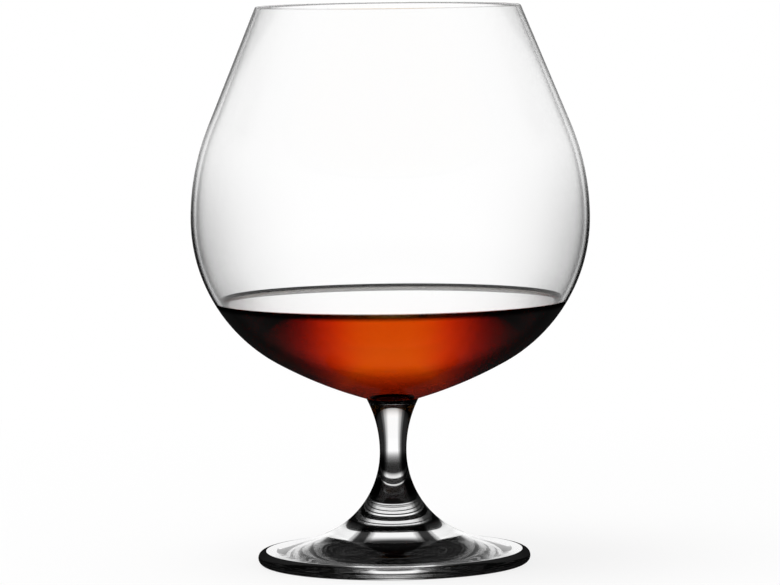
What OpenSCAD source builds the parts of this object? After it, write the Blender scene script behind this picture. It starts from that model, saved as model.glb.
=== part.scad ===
// Brandy snifter: a blown bowl, a drawn stem and a pressed foot, with a measure of brandy in the bowl.
// Each piece is a solid of revolution. The glass pieces are fused end to end at two flat seams, and the
// brandy lies against the inside of the bowl. The origin is on the axis, on the plane the foot rests on.

/* [Bowl] */
// Outside diameter at the widest ring
belly_d = 110; // [96:0.5:120]
// Outside diameter of the mouth, where the wall starts to round over
mouth_d = 73.2; // [68:0.2:84]
// Height from the widest ring up to the mouth
shoulder_h = 58.2; // [54:0.2:70]
// Radius of the wall's curve above the widest ring
shoulder_r = 68; // [54:0.5:70]
// Distance from the axis to the middle of the wall's curve below the widest ring
underbelly_x = 9.7; // [6:0.1:14]
// Slope of the underside where the wall's curve turns flatter, in degrees from level
underside_slope = 29; // [24:0.5:36]
// Slope of the underside at the stem, in degrees from level
seam_slope = 16.5; // [8:0.5:20]
// Slope of the wall inside where the floor's curve starts, in degrees from level
floor_slope = 22; // [17:0.5:28]
// Wall at the widest ring and below it
belly_wall = 1.4; // [1:0.05:2.2]
// Wall at the mouth, which is fire-polished to a full round
mouth_wall = 1.2; // [0.8:0.05:2]

/* [Stem] */
// Diameter at the waist, the narrowest place
waist_d = 7.4; // [6:0.1:9]
// Radius of the curve from the waist up to the bowl
neck_r = 32; // [22:0.5:44]
// Radius of the curve from the waist down into the foot
flare_r = 25; // [20:0.2:32]
// Diameter of the fused seam between the stem and the bowl
bowl_seam_d = 14.5; // [11:0.1:18]
// Diameter of the fused seam between the stem and the foot
foot_seam_d = 14; // [11:0.1:20]

/* [Foot] */
// Diameter of the foot
foot_d = 75.4; // [70:0.2:86]
// Thickness of the foot at its edge, which is a full round
edge_t = 3.6; // [2:0.1:5]
// Slope of the top at the edge, in degrees from level
edge_slope = 8; // [4:0.5:12]
// Slope of the top where the stem's curve ends, in degrees from level
flare_slope = 20.5; // [17:0.5:30]
// Width of the flat ring that the foot rests on
rest_w = 4; // [2:0.2:8]
// Rise of the hollow under the foot at its middle
hollow_h = 1.6; // [0.8:0.1:2.4]

/* [Brandy] */
// Depth of the brandy, from the floor up to its edge on the glass
fill_h = 23.6; // [12:0.2:38]
// Radius of the curve that the surface makes where it climbs the glass
meniscus_r = 3.2; // [1.2:0.1:3.6]
// Angle between the surface and the glass at the brandy's edge
wetting_angle = 12; // [5:1:25]

/* [Hidden] */

// Facets of a full turn, round the axis and along an arc, and the shortest facet worth having on an arc
$fn = 120;
facet = 0.25;

// Points along an arc about (x, z), from one angle to another
function arc(x, z, r, from, to) =
    let (turn_share = abs(to - from) / 360)
    let (steps = ceil(turn_share * min($fn, 2 * PI * r / facet)))
    [for (i = [0:steps]) let (turn = from + (to - from) * i / steps) [x + r * cos(turn), z + r * sin(turn)]];

// The points of a list in the other order
function reversed(points) = [for (i = [len(points) - 1:-1:0]) points[i]];

// A list of points without its first, where the list before it ends on that point
function rest_of(points) = [for (i = [1:len(points) - 1]) points[i]];

// Radii from the axis
belly_radius = belly_d / 2;
mouth_radius = mouth_d / 2;
waist_radius = waist_d / 2;
bowl_seam_radius = bowl_seam_d / 2;
foot_seam_radius = foot_seam_d / 2;
foot_radius = foot_d / 2;
edge_r = edge_t / 2;
lip_r = mouth_wall / 2;

// Foot: the top starts on the rounded edge and steepens along one arc to the stem's curve
edge_x = foot_radius - edge_r;
top_start_x = edge_x + edge_r * sin(edge_slope);
top_start_z = edge_r + edge_r * cos(edge_slope);
flare_x = waist_radius + flare_r;
top_end_x = flare_x - flare_r * sin(flare_slope);
top_r = (top_start_x - top_end_x) / (sin(flare_slope) - sin(edge_slope));
top_x = top_start_x + top_r * sin(edge_slope);
top_z = top_start_z + top_r * cos(edge_slope);
hollow_radius = edge_x - rest_w;
hollow_r = (pow(hollow_radius, 2) + pow(hollow_h, 2)) / (2 * hollow_h);

// Stem: two arcs that meet upright at the waist
waist_z = top_z - top_r * cos(flare_slope) + flare_r * cos(flare_slope);
foot_seam_turn = -acos((foot_seam_radius - flare_x) / flare_r);
foot_seam_z = waist_z + flare_r * sin(foot_seam_turn);
neck_x = waist_radius + neck_r;
bowl_seam_turn = acos((bowl_seam_radius - neck_x) / neck_r);
bowl_seam_z = waist_z + neck_r * sin(bowl_seam_turn);

// Bowl, outside: a flat arc from the seam, a round one up to the widest ring, one past it, a straight lip
underbelly_r = belly_radius - underbelly_x;
underside_end_x = underbelly_x + underbelly_r * sin(underside_slope);
underside_r = (underside_end_x - bowl_seam_radius) / (sin(underside_slope) - sin(seam_slope));
underside_x = bowl_seam_radius - underside_r * sin(seam_slope);
underside_z = bowl_seam_z + underside_r * cos(seam_slope);
belly_z = underside_z - (underside_r - underbelly_r) * cos(underside_slope);
shoulder_x = belly_radius - shoulder_r;
mouth_z = belly_z + shoulder_h;
mouth_reach = norm([mouth_radius - shoulder_x, shoulder_h]);
lip_lean = atan2(shoulder_h, mouth_radius - shoulder_x) - acos(shoulder_r / mouth_reach);

// Bowl, inside: the same centres less the wall, and a flatter floor that runs into them at its slope
inner_underbelly_r = underbelly_r - belly_wall;
floor_r = inner_underbelly_r + underbelly_x / sin(floor_slope);
floor_centre_z = belly_z + (floor_r - inner_underbelly_r) * cos(floor_slope);
floor_z = floor_centre_z - floor_r;

// Brandy: its edge lies on the inner wall, and its surface curves down from there to the level
edge_z = floor_z + fill_h;
edge_turn = -asin((belly_z - edge_z) / inner_underbelly_r);
climb = edge_turn + 90 - wetting_angle;
meniscus_x = underbelly_x + inner_underbelly_r * cos(edge_turn) - meniscus_r * sin(climb);
meniscus_z = edge_z + meniscus_r * cos(climb);
level_z = meniscus_z - meniscus_r;

// Inside of the bowl below the brandy's edge, from the axis outwards
wetted_wall = concat(
    arc(0, floor_centre_z, floor_r, -90, floor_slope - 90),
    rest_of(arc(underbelly_x, belly_z, inner_underbelly_r, floor_slope - 90, edge_turn)));

// A closed outline in the plane of the axis, turned once round it
module turned(outline) {
    rotate_extrude()
        polygon(outline);
}

// Blown bowl, open at the mouth, with a solid base as wide as the stem's top
module bowl() {
    color([0.90, 0.94, 0.95, 0.45])
        turned(concat(
            [[0, bowl_seam_z]],
            arc(underside_x, underside_z, underside_r, seam_slope - 90, underside_slope - 90),
            rest_of(arc(underbelly_x, belly_z, underbelly_r, underside_slope - 90, 0)),
            rest_of(arc(shoulder_x, belly_z, shoulder_r, 0, lip_lean)),
            arc(mouth_radius - lip_r * cos(lip_lean), mouth_z - lip_r * sin(lip_lean), lip_r,
                lip_lean, lip_lean + 180),
            arc(shoulder_x, belly_z, shoulder_r - belly_wall, lip_lean, 0),
            rest_of(arc(underbelly_x, belly_z, inner_underbelly_r, 0, edge_turn)),
            rest_of(reversed(wetted_wall))));
}

// Drawn stem, waisted, with a flat fused face at each end
module stem() {
    color([0.86, 0.90, 0.92, 0.7])
        turned(concat(
            [[0, foot_seam_z]],
            arc(flare_x, waist_z, flare_r, foot_seam_turn, -180),
            rest_of(arc(neck_x, waist_z, neck_r, 180, bowl_seam_turn)),
            [[0, bowl_seam_z]]));
}

// Pressed foot, with the flare that meets the stem, a round edge and a shallow hollow underneath
module foot() {
    color([0.82, 0.87, 0.90, 0.7])
        turned(concat(
            arc(0, hollow_h - hollow_r, hollow_r, 90, acos(hollow_radius / hollow_r)),
            arc(edge_x, edge_r, edge_r, -90, 90 - edge_slope),
            rest_of(arc(top_x, top_z, top_r, -90 - edge_slope, -90 - flare_slope)),
            rest_of(arc(flare_x, waist_z, flare_r, -90 - flare_slope, foot_seam_turn)),
            [[0, foot_seam_z]]));
}

// Brandy at rest, level in the middle and climbing the glass at its edge
module brandy() {
    color([0.62, 0.10, 0.03, 0.9])
        turned(concat(
            wetted_wall,
            rest_of(arc(meniscus_x, meniscus_z, meniscus_r, climb - 90, -90)),
            [[0, level_z]]));
}

bowl();
stem();
foot();
brandy();
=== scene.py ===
"""Brandy snifter: a blown bowl, a drawn stem, a pressed foot and the brandy, on a pale floor."""
import bpy
from math import acos, asin, atan2, ceil, cos, hypot, pi, radians, sin
from mathutils import Matrix


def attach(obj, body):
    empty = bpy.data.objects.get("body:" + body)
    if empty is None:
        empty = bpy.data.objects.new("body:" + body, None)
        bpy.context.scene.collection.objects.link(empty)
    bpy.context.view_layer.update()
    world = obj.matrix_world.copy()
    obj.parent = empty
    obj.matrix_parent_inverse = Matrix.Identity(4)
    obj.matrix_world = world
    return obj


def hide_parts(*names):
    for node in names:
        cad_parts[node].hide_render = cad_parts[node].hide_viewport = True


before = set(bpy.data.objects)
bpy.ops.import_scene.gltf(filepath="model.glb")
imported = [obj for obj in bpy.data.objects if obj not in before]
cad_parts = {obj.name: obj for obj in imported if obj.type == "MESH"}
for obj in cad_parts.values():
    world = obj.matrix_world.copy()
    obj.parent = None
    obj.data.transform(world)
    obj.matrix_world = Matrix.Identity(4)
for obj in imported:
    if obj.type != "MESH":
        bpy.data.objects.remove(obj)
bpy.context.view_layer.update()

MM = 0.001

# Camera: a long lens a little above the glass's mouth, looking slightly down, where the photograph was
# taken from. It rolls a little, because the photographed glass leans in its picture.
camera_place = (-0.33 * MM, -1.3676, 0.1867)
camera_pitch = radians(4.668)
camera_roll = radians(-0.7)
camera = bpy.data.objects.new("camera", bpy.data.cameras.new("camera"))
bpy.context.scene.collection.objects.link(camera)
bpy.context.scene.camera = camera
camera.data.sensor_width = 36
camera.data.lens = 229.5
camera.data.clip_start, camera.data.clip_end = 0.05, 50
camera.matrix_world = (Matrix.Translation(camera_place)
                       @ Matrix.Rotation(pi / 2 - camera_pitch, 4, "X")
                       @ Matrix.Rotation(camera_roll, 4, "Z"))

# Foot: soda-lime glass pressed on the end of the stem while hot. Its top steepens into the stem's flare,
# its edge is a full round, and the underside is hollow, so that it stands on a flat ring.
foot_radius = 37.7 * MM
edge_r = 1.8 * MM
edge_slope = radians(8)
flare_slope = radians(20.5)
flare_r = 25 * MM
rest_w = 4 * MM
hollow_h = 1.6 * MM
waist_radius = 3.7 * MM
seam_radius = 7 * MM
glass_ior = 1.52
white = (1, 1, 1, 1)
black = (0, 0, 0, 1)
right = pi / 2


def arc(x, z, r, start, end, zone=0, step=radians(1.5), least=3):
    """Points of an arc about (x, z) in the plane of the axis, each with the zone of the face after it."""
    steps = max(least, ceil(abs(end - start) / step))
    turns = [start + (end - start) * i / steps for i in range(steps + 1)]
    return [(x + r * cos(t), z + r * sin(t), zone) for t in turns]


def node(tree, kind, inputs=None, **settings):
    """A new node of a tree. Each of its inputs is given a value, or another node's output to follow."""
    made = tree.nodes.new(kind)
    for key, value in settings.items():
        setattr(made, key, value)
    for key, value in (inputs or {}).items():
        if isinstance(value, bpy.types.NodeSocket):
            tree.links.new(value, made.inputs[key])
        else:
            made.inputs[key].default_value = value
    return made


def maths(tree, operation, *values, clamp=False):
    """The result of an operation on one, two or three values."""
    made = node(tree, "ShaderNodeMath", dict(enumerate(values)), operation=operation, use_clamp=clamp)
    return made.outputs[0]


def turning_tree(name, materials):
    """A tree that turns an outline once round the axis and gives each zone of it its material."""
    tree = bpy.data.node_groups.new(name, "GeometryNodeTree")
    face = tree.interface
    face.new_socket("Geometry", in_out="INPUT", socket_type="NodeSocketGeometry")
    face.new_socket("Facets", in_out="INPUT", socket_type="NodeSocketInt").default_value = 192
    face.new_socket("Geometry", in_out="OUTPUT", socket_type="NodeSocketGeometry")

    given = node(tree, "NodeGroupInput")
    outline, facets = given.outputs["Geometry"], given.outputs["Facets"]
    count = node(tree, "GeometryNodeAttributeDomainSize", {0: outline}).outputs["Point Count"]
    grid = node(tree, "GeometryNodeMeshGrid", {
        "Vertices X": maths(tree, "ADD", facets, 1.0), "Vertices Y": count, "Size X": 1.0, "Size Y": 1.0})
    # Each point of the grid takes the place of a point of the outline, swung round the axis.
    index = node(tree, "GeometryNodeInputIndex").outputs[0]
    ring = maths(tree, "FLOORED_MODULO", index, count)
    turn = maths(tree, "FLOOR", maths(tree, "DIVIDE", index, count))
    angle = maths(tree, "DIVIDE", maths(tree, "MULTIPLY", turn, 2 * pi), facets)
    place = node(tree, "GeometryNodeSampleIndex", {
        "Geometry": outline, "Value": node(tree, "GeometryNodeInputPosition").outputs[0], "Index": ring},
        data_type="FLOAT_VECTOR")
    swung = node(tree, "ShaderNodeVectorRotate", {"Vector": place.outputs[0], "Angle": angle},
                 rotation_type="Z_AXIS")
    shaped = node(tree, "GeometryNodeSetPosition", {
        "Geometry": grid.outputs["Mesh"], "Position": swung.outputs[0]})
    # Each face keeps the zone of its band of the outline.
    band = maths(tree, "FLOORED_MODULO", index, maths(tree, "SUBTRACT", count, 1.0))
    point_zone = node(tree, "GeometryNodeInputNamedAttribute", {"Name": "zone"}, data_type="INT")
    zone = node(tree, "GeometryNodeSampleIndex", {
        "Geometry": outline, "Value": point_zone.outputs[0], "Index": band}, data_type="INT")
    marked = node(tree, "GeometryNodeStoreNamedAttribute", {
        "Geometry": shaped.outputs[0], "Name": "zone", "Value": zone.outputs[0]},
        data_type="FLOAT", domain="FACE")
    welded = node(tree, "GeometryNodeMergeByDistance", {"Geometry": marked.outputs[0], "Distance": 1e-6})
    smooth = node(tree, "GeometryNodeSetShadeSmooth", {"Geometry": welded.outputs[0]})
    last = node(tree, "GeometryNodeRealizeInstances", {"Geometry": smooth.outputs[0]}).outputs[0]
    face_zone = node(tree, "GeometryNodeInputNamedAttribute", {"Name": "zone"}, data_type="FLOAT")
    for number, material in enumerate(materials):
        same = node(tree, "FunctionNodeCompare", {0: face_zone.outputs[0], 1: number, "Epsilon": 0.1},
                    operation="EQUAL")
        last = node(tree, "GeometryNodeSetMaterial", {
            "Geometry": last, "Selection": same.outputs[0], "Material": material}).outputs[0]
    node(tree, "NodeGroupOutput", {"Geometry": last})
    return tree


def turned(name, outline, materials, facets=192):
    """A closed outline of (x, z, zone) points turned round the axis by its tree, as a plain smooth mesh."""
    line = bpy.data.meshes.new(name + "_outline")
    line.from_pydata([(x, 0, z) for x, z, zone in outline], [(i, i + 1) for i in range(len(outline) - 1)], [])
    line.attributes.new("zone", "INT", "POINT").data.foreach_set("value", [zone for x, z, zone in outline])
    lathe = bpy.data.objects.new(name + "_lathe", line)
    bpy.context.scene.collection.objects.link(lathe)
    modifier = lathe.modifiers.new("turning", "NODES")
    modifier.node_group = turning_tree(name + "_turning", materials)
    ids = {s.name: s.identifier for s in modifier.node_group.interface.items_tree if s.in_out == "INPUT"}
    modifier[ids["Facets"]] = facets
    evaluated = lathe.evaluated_get(bpy.context.evaluated_depsgraph_get())
    mesh = bpy.data.meshes.new_from_object(evaluated)
    lathe.modifiers.remove(modifier)
    bpy.data.objects.remove(lathe)
    mesh.name = name
    mesh.set_sharp_from_angle(angle=radians(20))
    piece = bpy.data.objects.new(name, mesh)
    bpy.context.scene.collection.objects.link(piece)
    return piece


def eased(tree, value, low, high, at_low, at_high):
    """A number that goes smoothly from at_low to at_high while the value goes from low to high."""
    return node(tree, "ShaderNodeMapRange", {
        "Value": value, "From Min": low, "From Max": high, "To Min": at_low, "To Max": at_high},
        interpolation_type="SMOOTHSTEP").outputs[0]


def read_off(tree, value, stops, curve="EASE"):
    """The share or colour that a list of (value, share or colour) stops gives for the value."""
    made = node(tree, "ShaderNodeValToRGB", {0: value})
    made.color_ramp.interpolation = curve
    while len(made.color_ramp.elements) < len(stops):
        made.color_ramp.elements.new(0.5)
    for element, (position, shown) in zip(made.color_ramp.elements, stops):
        element.position = position
        element.color = (*shown, 1) if isinstance(shown, tuple) else (shown, shown, shown, 1)
    return made.outputs[0]


def blend(tree, share, first, second):
    """The first of two shaders where the share is 0, and the second where it is 1."""
    return node(tree, "ShaderNodeMixShader", {0: share, 1: first, 2: second}).outputs[0]


def see_through(tree, colour=white):
    """A shader that lets light of this colour go straight on. Black stops it."""
    return node(tree, "ShaderNodeBsdfTransparent", {"Color": colour}).outputs[0]


def refracting(tree, ior, colour=white):
    """A polished clear shader that both reflects and refracts."""
    return node(tree, "ShaderNodeBsdfPrincipled", {
        "Base Color": colour, "Roughness": 0, "IOR": ior, "Transmission Weight": 1}).outputs[0]


def empty_material(name):
    """A new material with nothing in it but its output, and its tree."""
    material = bpy.data.materials.new(name)
    material.use_nodes = True
    tree = material.node_tree
    tree.nodes.remove(tree.nodes["Principled BSDF"])
    return material, tree


def show(tree, shader, socket="Surface"):
    """Makes a shader the material's surface, or its volume."""
    tree.links.new(shader, tree.nodes["Material Output"].inputs[socket])


def clear(name, ior, sides=None, rim=None, rise=0.0, gloss=1, inner=1, rounded=False, ghosts=None,
          stout=None, thin=None, span=None, low_sides=None, brim=None, tint_and_shade=None):
    """A clear surface of index ior, with painted shade where it turns away from the eye, in place of the dark
    edges that glass shows.

    sides      stops of the share of light kept from painted shade, by how far the surface is turned sideways, whatever its lean
    rim        the same, by how far it is turned away from the eye in any direction
    rise       how steeply the eye looks down, for which sideways allows where the surface leans
    gloss      the share of the outer face that reflects as well as refracts
    inner      the least share of light kept from painted shade, where the surface is seen from within
    rounded    whether the stops of sides are joined by one rounded curve
    ghosts     two turns: seen from within, it reflects nothing below the first, and all over the second
    stout      two heights, and the power that the share kept by sides is raised to at each
    thin       two heights and a share: over them that share of the outline lets light straight through
    span       two heights: sides takes no light below the first, and all of its own over the second
    low_sides  stops that take the place of sides below the span
    brim       two heights and a share: over them painted shade keeps only that share of the light
    tint       stops of painted colour and shade by how far out the surface is; the radius at which that is 1;
           two heights and how many times further out it counts at the lower; two heights and how far out it
           counts at the least at the lower
    """
    material, tree = empty_material(name)
    coordinates = node(tree, "ShaderNodeTexCoord").outputs
    point = node(tree, "ShaderNodeSeparateXYZ", {0: coordinates["Object"]}).outputs
    lean = node(tree, "ShaderNodeSeparateXYZ", {0: coordinates["Normal"]}).outputs["Z"]
    height = point["Z"]
    within = node(tree, "ShaderNodeNewGeometry").outputs["Backfacing"]
    away = node(tree, "ShaderNodeLayerWeight", {"Blend": 0.5}).outputs["Facing"]
    least_upright = 0.05
    upright = maths(tree, "SQRT", maths(tree, "SUBTRACT", 1.0, maths(tree, "MULTIPLY", lean, lean)))
    towards = maths(tree, "SUBTRACT", maths(tree, "SUBTRACT", 1.0, away), maths(tree, "MULTIPLY", lean, rise))
    level = maths(tree, "DIVIDE", towards, maths(tree, "MAXIMUM", upright, least_upright))
    sideways = maths(tree, "SUBTRACT", 1.0, level)

    # The share of light kept from painted shade, by how far the surface is turned from the eye and by height.
    kept_from_painted_shade = read_off(tree, sideways, sides, "B_SPLINE" if rounded else "EASE") if sides else 1.0
    if stout:
        kept_from_painted_shade = maths(tree, "POWER", kept_from_painted_shade, eased(tree, height, *stout))
    if rim:
        kept_from_painted_shade = maths(tree, "MULTIPLY", kept_from_painted_shade, read_off(tree, away, rim))
    if span:
        low = eased(tree, height, *span, 1, 0)
        if low_sides:
            low = maths(tree, "MULTIPLY", low, read_off(tree, sideways, low_sides))
            kept_from_painted_shade = maths(tree, "MULTIPLY", kept_from_painted_shade, eased(tree, height, *span, 0, 1))
        kept_from_painted_shade = maths(tree, "MAXIMUM", kept_from_painted_shade, low)
    if brim:
        start, full, share = brim
        kept_from_painted_shade = maths(tree, "MULTIPLY", kept_from_painted_shade, eased(tree, height, start, full, 1, share))
    kept_from_painted_shade = maths(tree, "MAXIMUM", kept_from_painted_shade, maths(tree, "MULTIPLY", within, inner))

    # Painted colour and shade: seen from outside, the surface takes a colour by how far out it is seen.
    colour = white
    if tint_and_shade:
        colours, width, gather, deepest_at_bottom = tint_and_shade
        level = maths(tree, "MAXIMUM", maths(tree, "MINIMUM", level, 1.0), 0.0)
        beside = maths(tree, "SQRT", maths(tree, "SUBTRACT", 1.0, maths(tree, "MULTIPLY", level, level)))
        radius = maths(tree, "SQRT", maths(tree, "ADD", maths(tree, "MULTIPLY", point["X"], point["X"]),
                                           maths(tree, "MULTIPLY", point["Y"], point["Y"])))
        out = maths(tree, "MULTIPLY", beside, maths(tree, "DIVIDE", radius, width))
        out = maths(tree, "MULTIPLY", out, eased(tree, height, *gather, 1))
        out = maths(tree, "MAXIMUM", out, eased(tree, height, *deepest_at_bottom, 0))
        colour = node(tree, "ShaderNodeMix", {
            "Factor": within, "A": read_off(tree, out, colours, "B_SPLINE"), "B": white},
            data_type="RGBA").outputs["Result"]

    bending = node(tree, "ShaderNodeBsdfRefraction", {"Color": colour, "Roughness": 0, "IOR": ior}).outputs[0]
    reflecting = maths(tree, "MULTIPLY", within, eased(tree, away, *ghosts, 0, 1)) if ghosts else within
    glass = blend(tree, maths(tree, "MAXIMUM", reflecting, gloss), bending, refracting(tree, ior, colour))
    if thin:
        start, full, share = thin
        outline_starts, outline_full = 0.74, 0.86
        outline = eased(tree, away, outline_starts, outline_full, 0, 1)
        straight = maths(tree, "MULTIPLY", eased(tree, height, start, full, 0, share), outline)
        glass = blend(tree, straight, glass, see_through(tree))
    # Painted shade: where less light is kept, a black see-through takes the glass's place.
    show(tree, blend(tree, kept_from_painted_shade, see_through(tree, black), glass))
    return material


edge_x = foot_radius - edge_r
flare_x = waist_radius + flare_r
top_start_x = edge_x + edge_r * sin(edge_slope)
top_end_x = flare_x - flare_r * sin(flare_slope)
top_r = (top_start_x - top_end_x) / (sin(flare_slope) - sin(edge_slope))
top_x = top_start_x + top_r * sin(edge_slope)
top_z = edge_r + edge_r * cos(edge_slope) + top_r * cos(edge_slope)
waist_z = top_z - (top_r - flare_r) * cos(flare_slope)
foot_seam_turn = -acos((seam_radius - flare_x) / flare_r)
foot_seam_z = waist_z + flare_r * sin(foot_seam_turn)
hollow_radius = edge_x - rest_w
hollow_r = (hollow_radius ** 2 + hollow_h ** 2) / (2 * hollow_h)

plain_zone, seam_zone, edge_zone, top_zone, flare_zone = range(5)
foot_outline = (
    arc(0, hollow_h - hollow_r, hollow_r, right, acos(hollow_radius / hollow_r), plain_zone,
        step=radians(0.2))
    + arc(edge_x, edge_r, edge_r, -right, right - edge_slope, edge_zone, step=radians(6))
    + arc(top_x, top_z, top_r, -right - edge_slope, -right - flare_slope, top_zone, step=radians(0.5))[1:]
    + arc(flare_x, waist_z, flare_r, -right - flare_slope, foot_seam_turn, flare_zone)[1:-1]
    + [(seam_radius, foot_seam_z, seam_zone), (0, foot_seam_z, seam_zone)])

foot_rise = 0.13
pressed = clear("foot_glass", glass_ior, gloss=0.3)
# Painted shade on the foot's top: a dark band where it is turned part way from the eye, clear face-on and
# near grazing.
pressed_top = clear("foot_glass_top", glass_ior, rim=[
    (0.0, 1), (0.4, 0.9), (0.48, 0.45), (0.54, 0.12), (0.6, 0.03), (0.68, 0.04), (0.74, 0.3),
    (0.79, 0.8), (0.83, 1)])
# Painted shade on the foot's round edge: clear only where it faces the eye, nearly black elsewhere, and dim
# seen from within.
pressed_edge = clear(
    "foot_glass_edge", glass_ior, rise=foot_rise, inner=0.1,
    sides=[(0.015, 1), (0.03, 0.4), (0.06, 0.08), (0.12, 0.02), (1, 0.01)])
# Painted shade on the flare: dark towards its sides, and below the span two painted dark lines a little way
# out from the middle.
flared = clear(
    "foot_glass_flare", glass_ior, rise=foot_rise, gloss=0.3,
    sides=[(0.08, 1), (0.16, 0.85), (0.24, 0.35), (0.32, 0.08), (0.5, 0.03)], span=(10 * MM, 12.5 * MM),
    low_sides=[(0.0, 1), (0.06, 1), (0.09, 0.5), (0.12, 0.04), (0.2, 0.04), (0.25, 0.5), (0.3, 1)])
fused, tree = empty_material("fused_seam")
show(tree, see_through(tree))
foot = turned("foot_glass", foot_outline, [pressed, fused, pressed_edge, pressed_top, flared])
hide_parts("foot")
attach(foot, "root")

# Stem: soda-lime glass drawn out of the hot gather, solid, and narrowest at the waist. It is fused to the
# foot and to the bowl, and the flat faces inside the two seams can't be seen.
neck_r = 32 * MM
bowl_seam_radius = 7.25 * MM
neck_x = waist_radius + neck_r
bowl_seam_turn = acos((bowl_seam_radius - neck_x) / neck_r)
bowl_seam_z = waist_z + neck_r * sin(bowl_seam_turn)

stem_outline = (
    [(0, foot_seam_z, seam_zone)]
    + arc(flare_x, waist_z, flare_r, foot_seam_turn, -pi, plain_zone)
    + arc(neck_x, waist_z, neck_r, pi, bowl_seam_turn, plain_zone, step=radians(1))[1:-1]
    + [(bowl_seam_radius, bowl_seam_z, seam_zone), (0, bowl_seam_z, seam_zone)])
# Painted shade on the stem: dark towards its sides over its upper part, clear low down.
drawn = clear(
    "stem_glass", glass_ior, gloss=0.25, span=(14 * MM, 20 * MM),
    sides=[(0.06, 1), (0.12, 0.5), (0.18, 0.12), (0.26, 0.02), (1, 0.01)])
stem = turned("stem_glass", stem_outline, [drawn, fused])
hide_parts("stem")
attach(stem, "root")

# Bowl: soda-lime glass, blown, thinnest at the mouth, which is fire-polished to a full round, and thick
# over the stem. Below the brandy's edge its inner wall is wetted, so brandy takes the place of air there,
# and the outer wall over it is painted with the brandy's red, deepening to painted shade at its sides.
belly_radius = 55 * MM
mouth_radius = 36.6 * MM
shoulder_h = 58.2 * MM
shoulder_r = 68 * MM
underbelly_x = 9.7 * MM
underside_slope = radians(29)
seam_slope = radians(16.5)
floor_slope = radians(22)
belly_wall = 1.4 * MM
lip_r = 0.6 * MM
fill_h = 23.6 * MM
tint_over_edge = 0.35 * MM
brandy_ior = 1.36

underbelly_r = belly_radius - underbelly_x
underside_end_x = underbelly_x + underbelly_r * sin(underside_slope)
underside_r = (underside_end_x - bowl_seam_radius) / (sin(underside_slope) - sin(seam_slope))
underside_x = bowl_seam_radius - underside_r * sin(seam_slope)
underside_z = bowl_seam_z + underside_r * cos(seam_slope)
belly_z = underside_z - (underside_r - underbelly_r) * cos(underside_slope)
shoulder_x = belly_radius - shoulder_r
mouth_z = belly_z + shoulder_h
mouth_reach = hypot(mouth_radius - shoulder_x, shoulder_h)
lip_lean = atan2(shoulder_h, mouth_radius - shoulder_x) - acos(shoulder_r / mouth_reach)
inner_r = underbelly_r - belly_wall
floor_r = inner_r + underbelly_x / sin(floor_slope)
floor_centre_z = belly_z + (floor_r - inner_r) * cos(floor_slope)
edge_z = floor_centre_z - floor_r + fill_h
edge_turn = -asin((belly_z - edge_z) / inner_r)
tint_turn = edge_turn + tint_over_edge / underbelly_r

wet_zone, tinted_zone = 2, 3
wetted_wall = (
    arc(0, floor_centre_z, floor_r, -right, floor_slope - right, wet_zone, step=radians(0.5))
    + arc(underbelly_x, belly_z, inner_r, floor_slope - right, edge_turn, wet_zone, step=radians(1))[1:])
bowl_outline = (
    [(0, bowl_seam_z, seam_zone)]
    + arc(underside_x, underside_z, underside_r, seam_slope - right, underside_slope - right, tinted_zone,
          step=radians(0.5))
    + arc(underbelly_x, belly_z, underbelly_r, underside_slope - right, tint_turn, tinted_zone,
          step=radians(1))[1:-1]
    + arc(underbelly_x, belly_z, underbelly_r, tint_turn, 0, plain_zone, step=radians(1))
    + arc(shoulder_x, belly_z, shoulder_r, 0, lip_lean, plain_zone, step=radians(1))[1:]
    + arc(mouth_radius - lip_r * cos(lip_lean), mouth_z - lip_r * sin(lip_lean), lip_r,
          lip_lean, lip_lean + pi, plain_zone, step=radians(12))
    + arc(shoulder_x, belly_z, shoulder_r - belly_wall, lip_lean, 0, plain_zone, step=radians(1))
    + arc(underbelly_x, belly_z, inner_r, 0, edge_turn, plain_zone, step=radians(1))[1:-1]
    + wetted_wall[::-1])

# Painted shade on the bowl: a dark outline where it turns sideways, deeper lower down, and near the mouth
# part of the outline lets light straight through.
blown = clear(
    "bowl_glass", glass_ior, gloss=0.15, rounded=True, ghosts=(0.12, 0.2),
    sides=[(0.15, 1), (0.34, 0.968), (0.47, 0.935), (0.6, 0.89), (0.7, 0.86), (0.8, 0.7), (0.84, 0.25),
           (0.88, 0.13), (0.94, 0.3), (1.0, 0.45)],
    stout=(82 * MM, 118 * MM, 2.6, 0.5), thin=(110 * MM, 130 * MM, 0.4))
wetted = clear("bowl_glass_wetted", glass_ior / brandy_ior)
# The brandy's red as a painted colour, clear face-on, deepening to painted shade (black) at the sides.
brandy_red_and_painted_shade = [
    (0.0, (1, 1, 1)), (0.08, (1, 0.97, 1)), (0.18, (0.95, 0.75, 0.9)), (0.29, (0.78, 0.2, 0.7)),
    (0.42, (0.22, 0.008, 0.1)), (0.54, (0.03, 0.001, 0.01)), (0.68, (0.002, 0.001, 0.001)),
    (1, (0.0, 0.0, 0.0))]
# The painted colour and shade deepen lower down and at the bottom.
gather = (50 * MM, 64 * MM, 1.3)
deepest_at_bottom = (47 * MM, 66 * MM, 0.37)
# Painted colour and shade over the brandy: its red, black at its sides, darker where it turns away, and a
# painted dark band at the brandy's edge.
tinted = clear(
    "bowl_glass_over_brandy", glass_ior, rise=0.1, gloss=0.05,
    rim=[(0.47, 1), (0.54, 0.96), (0.6, 0.78), (0.65, 0.5), (0.7, 0.34), (1, 0.18)],
    brim=(edge_z - 2.7 * MM, edge_z - 1.2 * MM, 0.12), tint_and_shade=(brandy_red_and_painted_shade, belly_radius, gather, deepest_at_bottom))
bowl = turned("bowl_glass", bowl_outline, [blown, fused, wetted, tinted])
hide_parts("bowl")
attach(bowl, "root")

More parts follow.
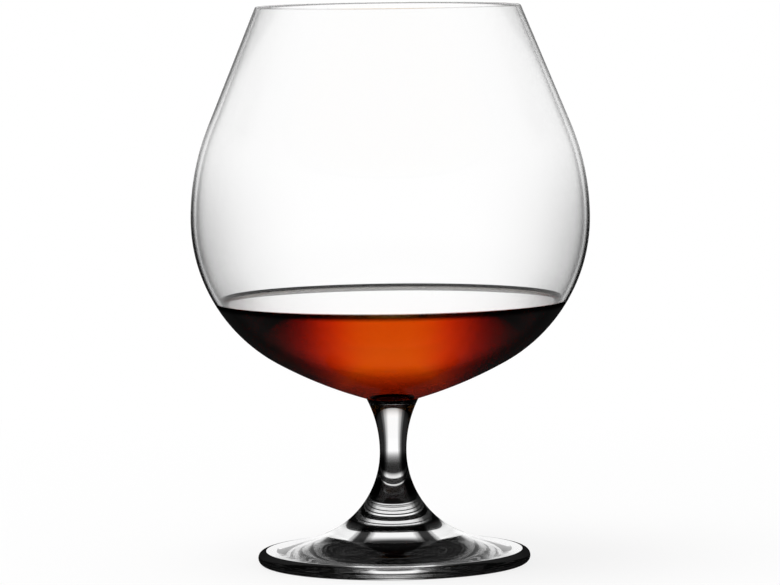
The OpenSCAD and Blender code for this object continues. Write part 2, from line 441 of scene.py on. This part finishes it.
# Brandy: a liquid, poured in, level in the middle and drawn up the glass at its edge in a small meniscus.
# It fills the bowl to within a hair of the wall, and the wall's wetted face does the bending of the light.
meniscus_r = 3.2 * MM
wetting_angle = radians(12)
hair = 0.02 * MM
level_rings = 8
climb = edge_turn + right - wetting_angle
meniscus_x = underbelly_x + inner_r * cos(edge_turn) - meniscus_r * sin(climb)
meniscus_z = edge_z + meniscus_r * cos(climb)
level_z = meniscus_z - meniscus_r

level_zone, wall_zone, climbing_zone = range(3)
brandy_outline = (
    arc(0, floor_centre_z, floor_r - hair, -right, floor_slope - right, wall_zone, step=radians(0.5))
    + arc(underbelly_x, belly_z, inner_r - hair, floor_slope - right, edge_turn, wall_zone,
          step=radians(1))[1:-1]
    + [(underbelly_x + (inner_r - hair) * cos(edge_turn), belly_z + (inner_r - hair) * sin(edge_turn),
        climbing_zone)]
    + arc(meniscus_x, meniscus_z, meniscus_r, climb - right, -right, climbing_zone, step=radians(4))[1:-1]
    + [(meniscus_x * k / level_rings, level_z, level_zone) for k in range(level_rings, -1, -1)])

brandy_ink, tree = empty_material("brandy")
zone = node(tree, "ShaderNodeAttribute", attribute_name="zone").outputs["Fac"]
# The level surface bends the light, and mirrors the room where it is seen at a low angle.
away = node(tree, "ShaderNodeLayerWeight", {"Blend": 0.5}).outputs["Facing"]
mirror = node(tree, "ShaderNodeBsdfGlossy", {"Color": white, "Roughness": 0}).outputs[0]
surface = blend(tree, eased(tree, away, 0.8, 0.92, 0, 1), refracting(tree, brandy_ior), mirror)
# Painted shade: where the brandy climbs the glass it is painted dark from above, more so higher up, and less
# in the mirror.
climbing = maths(tree, "GREATER_THAN", zone, climbing_zone - 0.5)
from_above = maths(tree, "SUBTRACT", climbing, node(tree, "ShaderNodeNewGeometry").outputs["Backfacing"])
place = node(tree, "ShaderNodeSeparateXYZ", {0: node(tree, "ShaderNodeTexCoord").outputs["Object"]})
climbed = node(tree, "ShaderNodeMapRange", {
    "Value": place.outputs["Z"], "From Min": level_z, "From Max": edge_z}).outputs[0]
painted_meniscus_shade = read_off(tree, climbed, [(0.0, 0.35), (0.06, 0.6), (0.2, 0.7), (0.36, 0.94), (1, 0.94)])
mirrored = node(tree, "ShaderNodeLightPath").outputs["Glossy Depth"]
lost_in_mirror = 0.35
painted_meniscus_shade = maths(tree, "MULTIPLY", painted_meniscus_shade,
                 maths(tree, "MULTIPLY_ADD", mirrored, -lost_in_mirror, 1, clamp=True))
painted_meniscus_shade = maths(tree, "MULTIPLY", from_above, painted_meniscus_shade, clamp=True)
surface = blend(tree, painted_meniscus_shade, surface, see_through(tree, black))
# The side against the wall lets light straight through, and the depth of brandy takes its share of it.
show(tree, blend(tree, maths(tree, "COMPARE", zone, wall_zone, 0.1), surface, see_through(tree)))
depth = node(tree, "ShaderNodeVolumeAbsorption", {"Color": (0.95, 0.68, 0.10, 1), "Density": 100})
show(tree, depth.outputs[0], "Volume")
brandy = turned("brandy_drink", brandy_outline, [brandy_ink, brandy_ink, brandy_ink])
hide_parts("brandy")
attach(brandy, "root")

# Floor: a pale matt round table top. It keeps the glass's shadow near the glass, and turns into the white
# background further out. To rays that come through glass it is painted dark near the foot and white further
# out.
floor_radius = 0.45
floor_sides = 128
floor_turns = [2 * pi * k / floor_sides for k in range(floor_sides)]
floor_mesh = bpy.data.meshes.new("floor")
floor_mesh.from_pydata([(floor_radius * cos(t), floor_radius * sin(t), 0) for t in floor_turns],
                       [], [tuple(range(floor_sides))])
floor = bpy.data.objects.new("floor", floor_mesh)
bpy.context.scene.collection.objects.link(floor)
pale, tree = empty_material("pale_floor")
floor_mesh.materials.append(pale)
place = node(tree, "ShaderNodeTexCoord").outputs["Object"]
distance = node(tree, "ShaderNodeVectorMath", {0: place}, operation="LENGTH").outputs["Value"]
path = node(tree, "ShaderNodeLightPath").outputs
not_through_glass = maths(tree, "SUBTRACT", 1, path["Is Transmission Ray"])
# Through glass: white far out, a painted pool of light right under the foot unless mirrored, and painted
# light deep in the glass.
far_light = eased(tree, distance, 0.08, 0.3, 0, 1)
unmirrored = node(tree, "ShaderNodeMapRange", {
    "Value": path["Glossy Depth"], "From Min": 0, "From Max": 1, "To Min": 0.8, "To Max": 0}).outputs[0]
painted_foot_light = maths(tree, "MULTIPLY", eased(tree, distance, 0.045, 0.06, 1, 0), unmirrored)
painted_deep_light = maths(tree, "MULTIPLY", maths(tree, "GREATER_THAN", path["Transmission Depth"], 2.5), 0.85)
backdrop_and_painted_light = maths(tree, "MAXIMUM", maths(tree, "MAXIMUM", far_light, painted_foot_light), painted_deep_light)
own_light = node(tree, "ShaderNodeMix", {
    "Factor": not_through_glass, "A": backdrop_and_painted_light, "B": eased(tree, distance, 0.05, 0.40, 0.8, 1)}).outputs[0]
# Painted dark: to rays through glass the floor's colour is nearly black; to all other rays it is pale.
paint = node(tree, "ShaderNodeMix", {
    "Factor": not_through_glass, "A": (0.02, 0.02, 0.02, 1), "B": (0.85, 0.85, 0.85, 1)},
    data_type="RGBA").outputs["Result"]
matt = node(tree, "ShaderNodeBsdfDiffuse", {"Color": paint}).outputs[0]
show(tree, blend(tree, own_light, matt, node(tree, "ShaderNodeEmission").outputs[0]))

# Studio: a soft lamp overhead, and a surround that is white to the camera. To rays that come through glass
# it is white low down and dark overhead, which is what draws a glass's edges.
room_light = 0.75
ceiling_light = 0.03
world = bpy.data.worlds.new("studio")
bpy.context.scene.world = world
world.use_nodes = True
tree = world.node_tree
for old in list(tree.nodes):
    tree.nodes.remove(old)
direction = node(tree, "ShaderNodeTexCoord").outputs["Generated"]
up = node(tree, "ShaderNodeSeparateXYZ", {0: direction}).outputs["Z"]
path = node(tree, "ShaderNodeLightPath").outputs
strength = room_light
for rays, seen in (
        ("Is Glossy Ray", eased(tree, up, 0.9, 1.0, 1, ceiling_light)),
        ("Is Transmission Ray", eased(tree, up, 0.25, 0.5, 1, ceiling_light)),
        ("Is Camera Ray", 1.0)):
    strength = node(tree, "ShaderNodeMix", {"Factor": path[rays], "A": strength, "B": seen}).outputs["Result"]
background = node(tree, "ShaderNodeBackground", {"Color": white, "Strength": strength})
node(tree, "ShaderNodeOutputWorld", {"Surface": background.outputs[0]})

lamp_data = bpy.data.lights.new("overhead", "AREA")
lamp_data.shape = "DISK"
lamp_data.size = 0.6
lamp_data.energy = 4
lamp = bpy.data.objects.new("overhead", lamp_data)
lamp.location = (-0.2, -0.1, 0.9)
lamp.rotation_euler = (0.12, -0.2, 0)
lamp.visible_glossy = False
lamp.visible_transmission = False
bpy.context.scene.collection.objects.link(lamp)

scene = bpy.context.scene
scene.view_settings.view_transform = "Standard"
scene.cycles.max_bounces = 24
scene.cycles.transmission_bounces = 24
scene.cycles.glossy_bounces = 12
scene.cycles.transparent_max_bounces = 24
